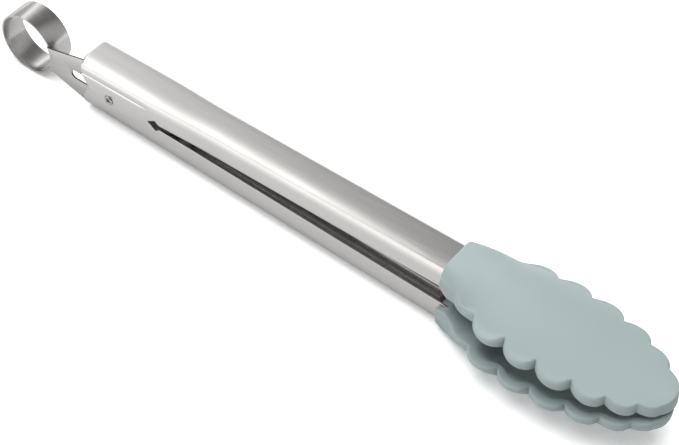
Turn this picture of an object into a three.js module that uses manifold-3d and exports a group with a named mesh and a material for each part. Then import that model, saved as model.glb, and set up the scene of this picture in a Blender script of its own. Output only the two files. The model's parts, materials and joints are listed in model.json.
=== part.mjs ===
// Spring loaded kitchen tongs, closed and locked, lying on the lower head and the pull ring.
// Millimetres, +Z up, +X to the head.
// Every part is drawn in its arm's own frame: hinge pin at the origin, +X along the web, +Y across.
import * as THREE from 'three';
import { mergeVertices } from 'three/addons/utils/BufferGeometryUtils.js';
import Module from 'manifold-3d';

const wasm = await Module();
wasm.setup();

// ---- driving dimensions ----
const DEG = Math.PI / 180;
const SPLAY = 0.9 * DEG;            // each arm's angle from the middle plane when locked
const SHEET = 0.8;                  // stainless sheet of the arms, lock plate and ring seat
const GAP = 0.1;                    // running clearance between nested sheets
const ARM_HALF = 8.75;              // half the arm's outside width
const WEB_TOP = 15.1;               // hinge pin to the outside of the web
const WEB_RADIUS = 5.5;             // outside bend between web and cheek
const CHEEK_EDGE = 1.1;             // hinge pin plane to the cheeks' cut edge
const ARM_REAR = -16;
const ARM_FRONT = 196;
const SLEEVE_REAR = 180;            // where the silicone starts
const SLEEVE_WALL = 1.4;
const PIN_RADIUS = 1.5;
const BUSH_RADIUS = 2.2;
const RIVET_HEAD_RADIUS = 2.3;
const RIVET_HEAD_HEIGHT = 0.8;
const PLATE_FRONT_Y = -6.3;         // near face of the lock plate, flush with the ring's near rim
const SLOT_LENGTH = 22;             // between the centres of the slot's two round ends
const PLATE_HALF = 12.2;            // half height of the plate's wide part
const PLATE_TAPER = 0.27;           // loss of half height for each mm towards the ring
const PLATE_WIDE_FROM = -14.5;
const PLATE_WIDE_TO = -5;
const PLATE_NOSE = 6.5;
const PLATE_END_HALF = 6.3;
const RING_CENTRE = -52;
const RING_RADIUS = 15.4;
const RING_SHEET = 1.0;
const RING_HALF = 6.3;
const SEAM_ANGLE = 155 * DEG;       // butt seam of the ring's band, opposite the plate
const SEAM_GAP = 0.25;
const WIRE_RADIUS = 0.65;
const COIL_RADIUS = 3.35;
const COIL_TURNS = 5.5;
const COIL_HALF = 4.3;              // half the coil's length along the pin
const LEG_REACH = 32;
const HEAD_TIP = 285;
const HEAD_START = 182;
const HEAD_REAR_HALF = 11.5;        // half width where the head's edge leaves the sleeve
const LIP_START = 200;              // where the head's scalloped edge starts
const HOOD_DROP = 3.6;              // how far the lip closes in towards the sleeve
const WALL_HEIGHT = 5.8;            // height of the scalloped side wall
const SHELL = 3.8;                  // silicone thickness over the jaw's dish
const LOBES = [                     // valley between lobes: x, half width, bulge of the lobe in front of it
  [200, 17.9, 4.4],
  [216, 20.1, 4.5],
  [231.5, 20.8, 4.4],
  [247.5, 19.5, 3.9],
  [262, 17.2, 2.9],
  [274, 11.9, 0],
];
const ARC_STEPS = 6;
const FAR = 40;                     // longer than any cut has to reach

// ---- helpers: outlines, solids and booleans ----
function toSolid(geometry) {
  const bare = geometry.clone();
  bare.deleteAttribute('normal');
  bare.deleteAttribute('uv');
  const merged = mergeVertices(bare, 1e-4);
  return new wasm.Manifold(new wasm.Mesh({
    numProp: 3,
    vertProperties: new Float32Array(merged.attributes.position.array),
    triVerts: new Uint32Array(merged.index.array),
  }));
}

function toGeometry(solid) {
  const mesh = solid.getMesh();
  const geometry = new THREE.BufferGeometry();
  geometry.setAttribute('position', new THREE.BufferAttribute(new Float32Array(mesh.vertProperties), 3));
  geometry.setIndex(new THREE.BufferAttribute(new Uint32Array(mesh.triVerts), 1));
  geometry.computeVertexNormals();
  return geometry;
}

function extruded(shape, depth, toX, toY, toZ, bevel = {}) {
  const settings = { depth, bevelEnabled: false, curveSegments: ARC_STEPS, ...bevel };
  const geometry = new THREE.ExtrudeGeometry(shape, settings);
  return geometry.applyMatrix4(new THREE.Matrix4().makeBasis(toX, toY, toZ));
}

// An outline drawn as (x, z), filled from y0 to y1.
function acrossY(shape, y0, y1, bevel) {
  const [x, y, z] = [new THREE.Vector3(1, 0, 0), new THREE.Vector3(0, 0, 1), new THREE.Vector3(0, -1, 0)];
  return extruded(shape, y1 - y0, x, y, z, bevel).translate(0, y1, 0);
}

// An outline drawn as (y, z), filled from x0 to x1.
function alongX(shape, x0, x1) {
  const [x, y, z] = [new THREE.Vector3(0, 1, 0), new THREE.Vector3(0, 0, 1), new THREE.Vector3(1, 0, 0)];
  return extruded(shape, x1 - x0, x, y, z).translate(x0, 0, 0);
}

// A solid between two height functions, over a strip whose half width is a function of x.
function between(x0, x1, half, nx, ny, top, bottom) {
  const geometry = new THREE.BoxGeometry(x1 - x0, 2, 2, nx, ny, 1);
  geometry.translate((x0 + x1) / 2, 0, 0);
  const at = geometry.attributes.position;
  for (let i = 0; i < at.count; i += 1) {
    const x = at.getX(i);
    const y = at.getY(i) * half(x);
    at.setXYZ(i, x, y, at.getZ(i) > 0 ? top(x, y) : bottom(x, y));
  }
  return geometry;
}

function outline(points) {
  return new THREE.Shape(points.map(([a, b]) => new THREE.Vector2(a, b)));
}

// A rounded-shoulder outline of half width w, from z = low to z = high.
function shoulders(w, low, high, radius) {
  const shape = new THREE.Shape();
  shape.moveTo(-w, low);
  shape.lineTo(w, low);
  shape.lineTo(w, high - radius);
  shape.absarc(w - radius, high - radius, radius, 0, Math.PI / 2, false);
  shape.absarc(radius - w, high - radius, radius, Math.PI / 2, Math.PI, false);
  shape.closePath();
  return shape;
}

// Adds an arc from one point to the next that bulges to the right of the way it goes.
function addBulge(points, from, to, bulge, steps) {
  const chord = from.distanceTo(to);
  const side = new THREE.Vector2(to.y - from.y, from.x - to.x).normalize();
  const radius = (chord * chord / 4 + bulge * bulge) / (2 * bulge);
  const centre = from.clone().add(to).multiplyScalar(0.5).addScaledVector(side, bulge - radius);
  const start = from.clone().sub(centre).angle();
  const sweep = 4 * Math.atan2(2 * bulge, chord);
  for (let i = 1; i <= steps; i += 1) {
    const angle = start + sweep * i / steps;
    points.push([centre.x + radius * Math.cos(angle), centre.y + radius * Math.sin(angle)]);
  }
}

function pinHole(radius) {
  const geometry = new THREE.CylinderGeometry(radius, radius, 2 * FAR, 24);
  return toSolid(geometry);
}

// ---- arms ----
const CREASE = 6.8;                 // height of the joggle that carries the upper ears outside the lower ones
const JOGGLE = SHEET + GAP;
const JOGGLE_FRONT = 22;
const JOGGLE_RAMP = 1.1;
const NOTCH_TIP = 21.5;
const NOTCH_LIP = [26.2, 2.9];      // widest point of the arrowhead notch
const NOTCH_BACK = 28.6;
const EAR_DEPTH = 5.3;
const V_CORNER = -11.6;
const V_START = 7;
const LOWER_EAR_RADIUS = 6.2;
const CHEEK_RELIEF = [186, 6];      // cheeks rise inside the sleeve from this x to this height at the end
const TANG_REAR = SLEEVE_REAR - 0.5; // from here to the front the arm is drawn in for the sleeve
const TANG_STEP = 0.1;

function channel() {
  const shaft = toSolid(alongX(shoulders(ARM_HALF, -8, WEB_TOP, WEB_RADIUS), ARM_REAR, TANG_REAR));
  const tangShape = shoulders(ARM_HALF - TANG_STEP, -8, WEB_TOP - TANG_STEP, WEB_RADIUS - TANG_STEP);
  const outside = shaft.add(toSolid(alongX(tangShape, TANG_REAR - 1, ARM_FRONT)));
  const insideShape = shoulders(ARM_HALF - SHEET, -9, WEB_TOP - SHEET, WEB_RADIUS - SHEET);
  const inside = toSolid(alongX(insideShape, ARM_REAR - 1, ARM_FRONT + 1));
  return outside.subtract(inside);
}

function cheekFront(shape) {
  shape.lineTo(NOTCH_LIP[0], NOTCH_LIP[1]);
  shape.lineTo(NOTCH_BACK, CHEEK_EDGE);
  shape.lineTo(CHEEK_RELIEF[0], CHEEK_EDGE);
  shape.lineTo(ARM_FRONT, CHEEK_RELIEF[1]);
  shape.lineTo(ARM_FRONT + 1, CHEEK_RELIEF[1]);
  shape.lineTo(ARM_FRONT + 1, WEB_TOP + 1);
  shape.lineTo(ARM_REAR - 1, WEB_TOP + 1);
  shape.lineTo(ARM_REAR - 1, V_START);
  shape.lineTo(ARM_REAR, V_START);
  shape.closePath();
  return shape;
}

function upperSide() {
  const shape = new THREE.Shape();
  shape.moveTo(V_CORNER, 0);
  shape.quadraticCurveTo(-6, -EAR_DEPTH, 0, -EAR_DEPTH);
  shape.lineTo(13, -4);
  shape.quadraticCurveTo(17.5, -3.4, NOTCH_TIP, 0);
  return cheekFront(shape);
}

function lowerSide() {
  const shape = new THREE.Shape();
  const tangent = 35 * DEG;
  shape.moveTo(V_CORNER, 0);
  shape.lineTo(-LOWER_EAR_RADIUS * Math.cos(tangent), -LOWER_EAR_RADIUS * Math.sin(tangent));
  shape.absarc(0, 0, LOWER_EAR_RADIUS, Math.PI + tangent, 2 * Math.PI - tangent, false);
  shape.lineTo(NOTCH_TIP, 0);
  return cheekFront(shape);
}

function earPad(y0, y1) {
  const shape = new THREE.Shape();
  shape.moveTo(2 * ARM_REAR, -2 * EAR_DEPTH);
  shape.lineTo(JOGGLE_FRONT, -2 * EAR_DEPTH);
  shape.lineTo(JOGGLE_FRONT, CREASE - 2.5);
  shape.quadraticCurveTo(JOGGLE_FRONT, CREASE, JOGGLE_FRONT - 2.5, CREASE);
  shape.lineTo(2 * ARM_REAR, CREASE);
  shape.closePath();
  const bevel = { bevelEnabled: true, bevelThickness: JOGGLE, bevelSize: JOGGLE_RAMP, bevelSegments: 1 };
  const geometry = acrossY(shape, y0 + JOGGLE, y1 - JOGGLE, bevel);
  return toSolid(geometry);
}

function upperArm() {
  const sheet = channel();
  const outer = ARM_HALF + JOGGLE;
  const inner = outer - SHEET;
  const near = earPad(-outer, -ARM_HALF + 2);
  const far = earPad(ARM_HALF - 2, outer);
  const nearPocket = earPad(-inner, -ARM_HALF + 4);
  const farPocket = earPad(ARM_HALF - 4, inner);
  const padded = sheet.add(near.subtract(nearPocket)).add(far.subtract(farPocket));
  const pocketed = padded.subtract(nearPocket).subtract(farPocket);
  const side = toSolid(acrossY(upperSide(), -FAR, FAR));
  return toGeometry(pocketed.intersect(side).subtract(pinHole(PIN_RADIUS + GAP)));
}

function lowerArm() {
  const side = toSolid(acrossY(lowerSide(), -FAR, FAR));
  return toGeometry(channel().intersect(side).subtract(pinHole(PIN_RADIUS + GAP)));
}

// ---- hinge: rivet, bushing and spring ----
function rivet() {
  const seat = ARM_HALF + JOGGLE + 0.05;
  const profile = new THREE.Path();
  profile.moveTo(0, -seat - RIVET_HEAD_HEIGHT);
  profile.quadraticCurveTo(RIVET_HEAD_RADIUS * 0.8, -seat - RIVET_HEAD_HEIGHT, RIVET_HEAD_RADIUS, -seat);
  profile.lineTo(PIN_RADIUS, -seat);
  profile.lineTo(PIN_RADIUS, seat);
  profile.lineTo(RIVET_HEAD_RADIUS, seat);
  profile.quadraticCurveTo(RIVET_HEAD_RADIUS * 0.8, seat + RIVET_HEAD_HEIGHT, 0, seat + RIVET_HEAD_HEIGHT);
  return new THREE.LatheGeometry(profile.getPoints(5), 28);
}

function bushing() {
  const half = ARM_HALF - SHEET - GAP;
  const bore = PIN_RADIUS + GAP;
  const profile = [[bore, -half], [BUSH_RADIUS, -half], [BUSH_RADIUS, half], [bore, half], [bore, -half]];
  return new THREE.LatheGeometry(profile.map(([r, y]) => new THREE.Vector2(r, y)), 28);
}

// One wire: a leg under the upper web, the coil round the bushing, and a leg over the lower web.
class SpringWire extends THREE.Curve {
  constructor() {
    super();
    const legZ = WEB_TOP - SHEET + LEG_REACH * Math.sin(SPLAY) - WIRE_RADIUS - 0.35;
    const reach = Math.hypot(LEG_REACH, legZ);
    const lift = Math.atan2(legZ, LEG_REACH) - Math.asin(COIL_RADIUS / reach);
    this.sweep = 2 * Math.PI * COIL_TURNS - 2 * lift;
    this.leg = Math.sqrt(reach ** 2 - COIL_RADIUS ** 2);
    this.coil = this.sweep * COIL_RADIUS;
    this.total = 2 * this.leg + this.coil;
  }

  getPoint(t, target = new THREE.Vector3()) {
    const along = t * this.total - this.leg - this.coil / 2;
    const turn = Math.min(Math.max(along / COIL_RADIUS, -this.sweep / 2), this.sweep / 2);
    const beyond = along - turn * COIL_RADIUS;
    const x = COIL_RADIUS * Math.cos(turn) - beyond * Math.sin(turn);
    const z = COIL_RADIUS * Math.sin(turn) + beyond * Math.cos(turn);
    return target.set(x, 2 * COIL_HALF * turn / this.sweep, z);
  }
}

function torsionSpring() {
  const ring = new THREE.Shape().absarc(0, 0, WIRE_RADIUS, 0, 2 * Math.PI, false);
  const path = new SpringWire();
  const settings = { steps: 110, bevelEnabled: false, extrudePath: path, curveSegments: 4 };
  return new THREE.ExtrudeGeometry(ring, settings);
}

// ---- lock: plate and pull ring ----
function lockPlate() {
  const bore = RING_RADIUS - RING_SHEET;
  const slope = PLATE_HALF - PLATE_TAPER * (PLATE_WIDE_FROM - (RING_CENTRE + RING_RADIUS));
  const endAngle = Math.asin(PLATE_END_HALF / bore);
  const shape = new THREE.Shape();
  shape.absarc(RING_CENTRE, 0, bore, endAngle, -endAngle, true);
  shape.lineTo(RING_CENTRE + RING_RADIUS, -slope);
  shape.lineTo(PLATE_WIDE_FROM, -PLATE_HALF);
  shape.lineTo(PLATE_WIDE_TO, -PLATE_HALF);
  shape.quadraticCurveTo(PLATE_NOSE, -PLATE_HALF, PLATE_NOSE, 0);
  shape.quadraticCurveTo(PLATE_NOSE, PLATE_HALF, PLATE_WIDE_TO, PLATE_HALF);
  shape.lineTo(PLATE_WIDE_FROM, PLATE_HALF);
  shape.lineTo(RING_CENTRE + RING_RADIUS, slope);
  shape.closePath();
  const slotRadius = BUSH_RADIUS + 0.15;
  const slot = new THREE.Path();
  slot.absarc(0, 0, slotRadius, -Math.PI / 2, Math.PI / 2, false);
  slot.absarc(-SLOT_LENGTH, 0, slotRadius, Math.PI / 2, 3 * Math.PI / 2, false);
  slot.closePath();
  shape.holes.push(slot);
  return acrossY(shape, PLATE_FRONT_Y, PLATE_FRONT_Y + SHEET);
}

function pullRing() {
  const bore = RING_RADIUS - RING_SHEET;
  const band = (radius, half) => toSolid(new THREE.CylinderGeometry(radius, radius, 2 * half, 72));
  const tube = band(RING_RADIUS, RING_HALF).subtract(band(bore, 2 * RING_HALF));
  const seatHeight = 2 * (PLATE_END_HALF + 0.8);
  const seat = new THREE.BoxGeometry(2 * RING_RADIUS, SHEET + 2 * GAP, seatHeight);
  seat.translate(2 * RING_RADIUS - RING_SHEET - 4, PLATE_FRONT_Y + SHEET / 2, 0);
  const seam = new THREE.BoxGeometry(4 * RING_SHEET, 4 * RING_HALF, SEAM_GAP);
  seam.translate(RING_RADIUS, 0, 0).rotateY(-SEAM_ANGLE);
  return toGeometry(tube.subtract(toSolid(seat)).subtract(toSolid(seam))).translate(RING_CENTRE, 0, 0);
}

// ---- heads ----
const LIFT = Math.tan(SPLAY);       // the middle plane's fall in the arm's own frame

function along(x) {
  return (x - LIP_START) / (HEAD_TIP - LIP_START);
}

// The jaw's lip: near the middle plane at the tip, wider apart at the first lobe, close again at the sleeve.
function lipHeight(x) {
  const t = along(x);
  const hood = Math.max(LIP_START - x, 0) / (LIP_START - HEAD_START);
  return 6.4 - 3.2 * t - 2.5 * t * t - HOOD_DROP * hood * hood - LIFT * x;
}

function headHalf(x) {
  if (x < 228) {
    return 22.4 - 4.4 * ((228 - x) / 28) ** 2;
  }
  return 22.4 * Math.sqrt(1 - Math.min((x - 228) / 57.5, 0.98) ** 2.6);
}

// The back of the head: a dome that is high at the sleeve and flattens towards the tip.
function headBack(x, y) {
  const edge = lipHeight(x) + WALL_HEIGHT;
  const sleeve = WEB_TOP + SLEEVE_WALL + 0.05;
  const start = lipHeight(LIP_START) + WALL_HEIGHT;
  const fade = 0.5 + 0.5 * Math.cos(Math.PI * Math.min(Math.max(along(x), 0), 1));
  const crown = x < LIP_START ? sleeve : edge + 0.8 + (sleeve - start - 0.8) * fade;
  return edge + (crown - edge) * (1 - Math.min(Math.abs(y) / headHalf(x), 1.15) ** 2);
}

function scallops(inset, bulgeScale, rear) {
  const shift = (x) => inset * Math.min(Math.max(along(x), 0), 1);
  const side = LOBES.map(([x, y]) => new THREE.Vector2(x - shift(x), y - inset));
  const points = [[rear[0], -rear[1]]];
  const nearRear = new THREE.Vector2(rear[0], -rear[1]);
  addBulge(points, nearRear, new THREE.Vector2(side[0].x, -side[0].y), 0.8, ARC_STEPS);
  for (let i = 1; i < side.length; i += 1) {
    const from = new THREE.Vector2(side[i - 1].x, -side[i - 1].y);
    const to = new THREE.Vector2(side[i].x, -side[i].y);
    addBulge(points, from, to, LOBES[i - 1][2] * bulgeScale, ARC_STEPS);
  }
  const last = side[side.length - 1];
  addBulge(points, new THREE.Vector2(last.x, -last.y), last, HEAD_TIP - inset - last.x, 2 * ARC_STEPS);
  for (let i = side.length - 1; i > 0; i -= 1) {
    addBulge(points, side[i], side[i - 1], LOBES[i - 1][2] * bulgeScale, ARC_STEPS);
  }
  addBulge(points, side[0], new THREE.Vector2(rear[0], rear[1]), 0.8, ARC_STEPS);
  return outline(points);
}

const CORE_BLOCK_FRONT = 198;
const CORE_BLADE = [196.4, 258, 9];  // from x, to x, half width
const CORE_COVER = 1.1;
const CORE_SHEET = 1.6;

// The stiffening core: a block in the channel's end and a blade that follows the head's back.
function core(grow) {
  const halfWidth = ARM_HALF - SHEET - GAP + grow;
  const inside = shoulders(halfWidth, CHEEK_EDGE - grow, WEB_TOP - SHEET - GAP + grow, 4.6);
  const block = toSolid(alongX(inside, SLEEVE_REAR + 1 - grow, CORE_BLOCK_FRONT + grow));
  const top = (x, y) => headBack(x, y) - CORE_COVER + grow;
  const bottom = (x, y) => headBack(x, y) - CORE_COVER - CORE_SHEET - grow;
  const [x0, x1, half] = CORE_BLADE;
  const blade = toSolid(between(x0 - grow, x1 + grow, () => half + grow, 14, 6, top, bottom));
  return block.add(blade);
}

function head() {
  const hoodRadius = WEB_RADIUS + SLEEVE_WALL;
  const hood = shoulders(ARM_HALF + SLEEVE_WALL, CHEEK_EDGE - SLEEVE_WALL, WEB_TOP + SLEEVE_WALL, hoodRadius);
  const sleeve = toSolid(alongX(hood, SLEEVE_REAR, LIP_START - 1));
  const room = (x) => 1.3 * headHalf(x);
  const body = toSolid(between(HEAD_START, HEAD_TIP + 1, room, 30, 12, headBack, lipHeight));
  const edge = toSolid(new THREE.ExtrudeGeometry(scallops(0, 1, [HEAD_START, HEAD_REAR_HALF]), {
    depth: 2 * FAR, bevelEnabled: false,
  }).translate(0, 0, -FAR));
  const dishTop = (x, y) => headBack(x, y) - SHELL;
  const dishRoom = toSolid(between(HEAD_START, HEAD_TIP + 1, room, 30, 12, dishTop, () => -FAR));
  const dishEdge = toSolid(new THREE.ExtrudeGeometry(scallops(2.8, 0.8, [204, 12]), {
    depth: 2 * FAR, bevelEnabled: false,
  }).translate(0, 0, -FAR));
  const armShape = shoulders(ARM_HALF + GAP, CHEEK_EDGE - GAP, WEB_TOP + GAP, WEB_RADIUS + GAP);
  const armRoom = toSolid(alongX(armShape, SLEEVE_REAR - 1, ARM_FRONT + GAP));
  const silicone = sleeve.add(body.intersect(edge)).subtract(dishRoom.intersect(dishEdge));
  return toGeometry(silicone.subtract(armRoom).subtract(core(GAP)));
}

// ---- assembly ----
const FINISH = {
  steel: new THREE.MeshStandardMaterial({ color: 0xc4c5c6, metalness: 1, roughness: 0.32 }),
  silicone: new THREE.MeshStandardMaterial({ color: 0xa9bfbd, metalness: 0, roughness: 0.55 }),
  nylon: new THREE.MeshStandardMaterial({ color: 0x565b5c, metalness: 0, roughness: 0.6 }),
  springSteel: new THREE.MeshStandardMaterial({ color: 0x8d8f92, metalness: 1, roughness: 0.4 }),
};

function node(name, geometry, finish) {
  const mesh = new THREE.Mesh(geometry, FINISH[finish].clone());
  mesh.name = name;
  return mesh;
}

function armGroup(name, armGeometry) {
  const group = new THREE.Group();
  group.name = `${name}_group`;
  group.add(node(`${name}_arm`, armGeometry, 'steel'));
  group.add(node(`${name}_core`, toGeometry(core(0)), 'nylon'));
  group.add(node(`${name}_head`, head(), 'silicone'));
  return group;
}

const upper = armGroup('upper', upperArm());
upper.rotation.y = -SPLAY;
upper.add(node('hinge_rivet', rivet(), 'steel'));

const lower = armGroup('lower', lowerArm());
lower.rotation.set(Math.PI, -SPLAY, 0);

const pivot = new THREE.Group();
pivot.name = 'pivot_group';
pivot.add(node('slot_bushing', bushing(), 'steel'));
pivot.add(node('torsion_spring', torsionSpring(), 'springSteel'));

const lock = new THREE.Group();
lock.name = 'lock_group';
lock.add(node('lock_plate', lockPlate(), 'steel'));
lock.add(node('pull_ring', pullRing(), 'steel'));

// The tongs lie on the pull ring and on the back of the lower head, where it is deepest.
const headDepth = (WEB_TOP + SLEEVE_WALL) * Math.cos(SPLAY) + LIP_START * Math.sin(SPLAY);
const REST_TILT = Math.atan((headDepth - RING_RADIUS) / (LIP_START - RING_CENTRE));
const tongs = new THREE.Group();
tongs.name = 'tongs';
tongs.add(upper, lower, pivot, lock);
tongs.rotation.y = -REST_TILT;
tongs.updateMatrixWorld(true);
const box = new THREE.Box3().setFromObject(tongs, true);
const centre = box.getCenter(new THREE.Vector3());
tongs.position.set(-centre.x, -centre.y, -box.min.z);

const part = new THREE.Group();
part.name = 'spring_loaded_kitchen_tongs';
part.add(tongs);

export default part;
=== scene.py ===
"""Looks for the spring loaded kitchen tongs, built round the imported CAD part. Blender works in metres.

Shapes are drawn in millimetres in an arm's own frame: the hinge pin at the origin, +X along the web
towards the head, +Y across and +Z out of the web. A placing matrix then carries them into the CAD's frame.
"""

import json
import math

import bmesh
import bpy
import numpy as np
from mathutils import Matrix, Vector


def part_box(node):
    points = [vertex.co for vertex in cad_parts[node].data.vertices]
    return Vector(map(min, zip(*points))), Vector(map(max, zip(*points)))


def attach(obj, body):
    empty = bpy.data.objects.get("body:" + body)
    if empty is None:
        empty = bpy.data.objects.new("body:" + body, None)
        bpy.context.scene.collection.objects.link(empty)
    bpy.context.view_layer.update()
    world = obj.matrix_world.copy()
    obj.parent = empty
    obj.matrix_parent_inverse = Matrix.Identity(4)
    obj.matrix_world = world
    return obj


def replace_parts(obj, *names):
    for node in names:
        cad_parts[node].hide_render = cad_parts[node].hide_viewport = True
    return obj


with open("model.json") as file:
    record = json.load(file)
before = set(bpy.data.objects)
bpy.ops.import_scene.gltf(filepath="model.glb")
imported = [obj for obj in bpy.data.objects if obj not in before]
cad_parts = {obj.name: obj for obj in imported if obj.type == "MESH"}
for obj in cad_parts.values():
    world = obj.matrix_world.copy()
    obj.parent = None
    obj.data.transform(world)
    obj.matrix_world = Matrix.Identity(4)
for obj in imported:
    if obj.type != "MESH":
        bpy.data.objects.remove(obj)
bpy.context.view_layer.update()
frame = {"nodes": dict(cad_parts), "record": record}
JOINTS = {joint["name"]: joint for joint in frame["record"]["behaviour"]["joints"]}

# ---- placing: read from the frame ----
MM = 0.001
PIN = Vector(JOINTS["arm_hinge"]["pos_m"])
SLIDE_AXIS = Vector(JOINTS["lock_slide"]["axis"])
TILT = math.atan2(SLIDE_AXIS.z, SLIDE_AXIS.x)       # the middle plane's rise towards the head
SPLAY = math.radians(0.9)                           # each arm's angle from the middle plane
SCALE = Matrix.Scale(MM, 4)
TONGS = Matrix.Translation(PIN) @ Matrix.Rotation(-TILT, 4, "Y") @ SCALE
UPPER = TONGS @ Matrix.Rotation(-SPLAY, 4, "Y")
SKEW = math.radians(0.42)                           # the lower jaw sits slightly turned on the hinge
TURNED = TONGS @ Matrix.Rotation(-SKEW, 4, "Z")
LOWER = TURNED @ Matrix.Rotation(SPLAY, 4, "Y") @ Matrix.Rotation(math.pi, 4, "X")


def size_mm(node, axis):
    low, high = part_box(node)
    return (high[axis] - low[axis]) / MM


# ---- driving dimensions, millimetres ----
ARM_HALF = size_mm("lower_arm", 1) / 2
SHEET = size_mm("lock_plate", 1)
RING_RADIUS = size_mm("pull_ring", 0) / 2
RING_HALF = size_mm("pull_ring", 1) / 2
RING_SHEET = 1.0
WEB_TOP = 15.1
WEB_CORNER = 8.0                                    # how far the rounded corner reaches along web and cheek
WEB_POWER = 2.7                                     # power of that corner's curve, where 2 is a circle
CHEEK_EDGE = 1.1
ARM_REAR = -16.0
ARM_END = 186.0                                     # hidden inside the sleeve
EAR_OUT = 0.9                                       # how far the upper arm's rear stands out a side
JOGGLE_FADE = (18.0, 55.0)                          # from x to x, it runs back to the plain section
CREASE = 6.8
CREASE_STEP = 0.22
CREASE_RAMP = 0.3                                   # height of the ledge at the crease
CREASE_BLEND = 3.0                                  # height over which the sheet runs back above it
CREASE_FADE = (17, 24)
NOTCH_TIP = 21.5
NOTCH_WIDE = (26.2, 2.9)
NOTCH_BACK = 28.6
V_CORNER = -11.6
# The upper ear's edge, from the rear corner round to the notch: the first curve's handle, the two ends of
# the straight part, and the second curve's handle.
EAR_REAR_HANDLE = (-6, -5.3)
EAR_LOWEST = (0, -5.3)
EAR_FRONT = (13, -4)
EAR_FRONT_HANDLE = (17.5, -3.4)
LOWER_EAR = 6.2                                     # radius of the lower arm's ear
LOWER_EAR_ANGLE = math.radians(35)                  # where its round part meets the straight edges
PIN_RADIUS = 1.5
BUSH_RADIUS = 2.2
RIVET_HEAD = (2.3, 0.8)                             # radius and height
RIVET_HOLLOW = (1.0, 0.7)                           # radius and depth of the tubular rivet's open end
RIVET_SOFT = 0.15
RIVET_GAP = 0.02
PRESS_RING = ((3.0, -0.2), (3.0, 0), (2.85, 0.13), (2.6, 0.16), (2.45, 0.06), (2.45, -0.2), (3.0, -0.2))
LATHE_STEPS = 40
RING_CENTRE = -52.0
PLATE_FACE = -RING_HALF - SHEET                     # against the ring's near rim
PLATE_HALF = 12.8
PLATE_TAPER = 0.27
PLATE_WIDE = (-14.5, -5.0)
PLATE_NOSE = 6.5
PLATE_END_HALF = 6.9
SLOT_LENGTH = 22.0
SLOT_PLAY = 0.15
SEAM_ANGLE = math.radians(155)                      # where the ring's two ends meet
SEAM_GAP = 0.22
WIRE_RADIUS = 0.65
COIL_RADIUS = 3.35
COIL_HALF = 4.3
COIL_TURNS = 5.5
LEG_REACH = 32.0
LEG_GAP = 0.35
COIL_POINTS = 320
SLEEVE_REAR = 180.0
SLEEVE_HALF = 11.3
SLEEVE_BOW = 1.0                                    # how far its sides reach behind its middle
SLEEVE_TOP = WEB_TOP + 1.45
SLEEVE_CUT = 4.5                                    # how much its rear lower corners are cut away
HEAD_TIP = 284.4
LIP_START = 200.0
WALL_HEIGHT = 4.6
DOME_LEAST = 1.8                                    # how far the back rises over its edge at the tip
HOOD_FADE = (184, 204)                              # from x to x, the sleeve's hood turns into the dome
SHELL = 3.8
REAR_LOBE_X = 188.4                                 # where the first short lobe starts, ahead of the sleeve
# The edge's half width there, that lobe's bulge, and the share of the other lobes' bulges that it takes.
LIP_LINE = (14.0, 1.4, 1.0)
BACK_LINE = (14.6, 0.8, 0.72)
TIP_CORNER = (281.8, 6.8)
# Valleys between the lobes: x, half width, then how far the lobe ahead stands out.
VALLEYS = (
    (200.3, 18.0, 5.0),
    (216.6, 20.2, 5.1),
    (232.1, 20.9, 5.0),
    (248, 19.7, 4.3),
    (262.4, 17.2, 3.2),
    (274, 12.0, 1.5),
)
LOBE_LEAN = 0.6                                     # how far a lobe's crest leans towards the tip
VALLEY_SOFT = 0.3
LIP_CURVE = (6.4, 3.2, 2.5)                         # the lip's height at its start, and its two falls
LIP_HOOD = 5.4                                      # how much lower it is at the sleeve's rear
HEAD_HALF = (228.0, 22.4)                           # x of the back's widest place, and its half width
HEAD_REAR = (28.0, 4.4)                             # this far behind it, the back is this much narrower
HEAD_FRONT = (57.5, 2.6)                            # reach of the back's curve to the tip, and its power
HOOD_POWER = 4.5
HOOD_LIMIT = 1.2                                    # the dome runs on this far past its own edge at most
SPINE_END = 268.0                                   # where the back's middle line ends, short of the tip
TIP_POINTS = 30                                     # points round the tip, left out of the back's widths
BACK_EDGE = 1.1                                     # how far the back's edge is rounded
SLEEVE_BACK_EDGE = 0.5                              # the same on the sleeve
BACK_EDGE_FADE = (186, 204)                         # from x to x, the one turns into the other
LIP_EDGE = 1.1                                      # radius of the lip's rounded outer edge
LIP_WALL = 0.6                                      # upright part of the wall above that edge
RIM = 3.2                                           # from the edge in to the dish
DISH_SOFT = 2.2                                     # rounding of the dish's own outline
DISH_START = (201, 212)                             # from x to x, it reaches its full depth
DISH_WALL = (0.5, 2.6)                              # share of the way in that its wall takes, and its power
SLEEVE_EDGE = 0.7
CORE_REACH = (176.5, 258.0)                         # from x to x: it starts in the arm, behind the sleeve
CORE_BLOCK = (194.0, 202.0)                         # from x to x, the block in the arm thins to the blade
CORE_GAP = 0.1
CORE_CHAMFER = 0.6
CORE_COVER = 1.1
CORE_BLADE = 1.6
CORE_CORNER = 0.95                                  # share of its height that the rounded corner takes


# ---- meshes and pieces ----
def to_mesh(name, points, faces, place):
    mesh = bpy.data.meshes.new(name)
    mesh.from_pydata([place @ Vector(point) for point in points], [], faces)
    return mesh


def tidy_mesh(mesh, merge_mm=0.002):
    work = bmesh.new()
    work.from_mesh(mesh)
    bmesh.ops.remove_doubles(work, verts=work.verts, dist=merge_mm * MM)
    bmesh.ops.recalc_face_normals(work, faces=work.faces)
    work.to_mesh(mesh)
    work.free()


def smooth(mesh, sharp_degrees):
    mesh.polygons.foreach_set("use_smooth", [True] * len(mesh.polygons))
    mesh.set_sharp_from_angle(angle=math.radians(sharp_degrees))
    mesh.update()


def applied(piece):
    """The piece's modifiers, made part of its mesh."""
    graph = bpy.context.evaluated_depsgraph_get()
    mesh = bpy.data.meshes.new_from_object(piece.evaluated_get(graph))
    piece.modifiers.clear()
    piece.data = mesh
    return mesh


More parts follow.
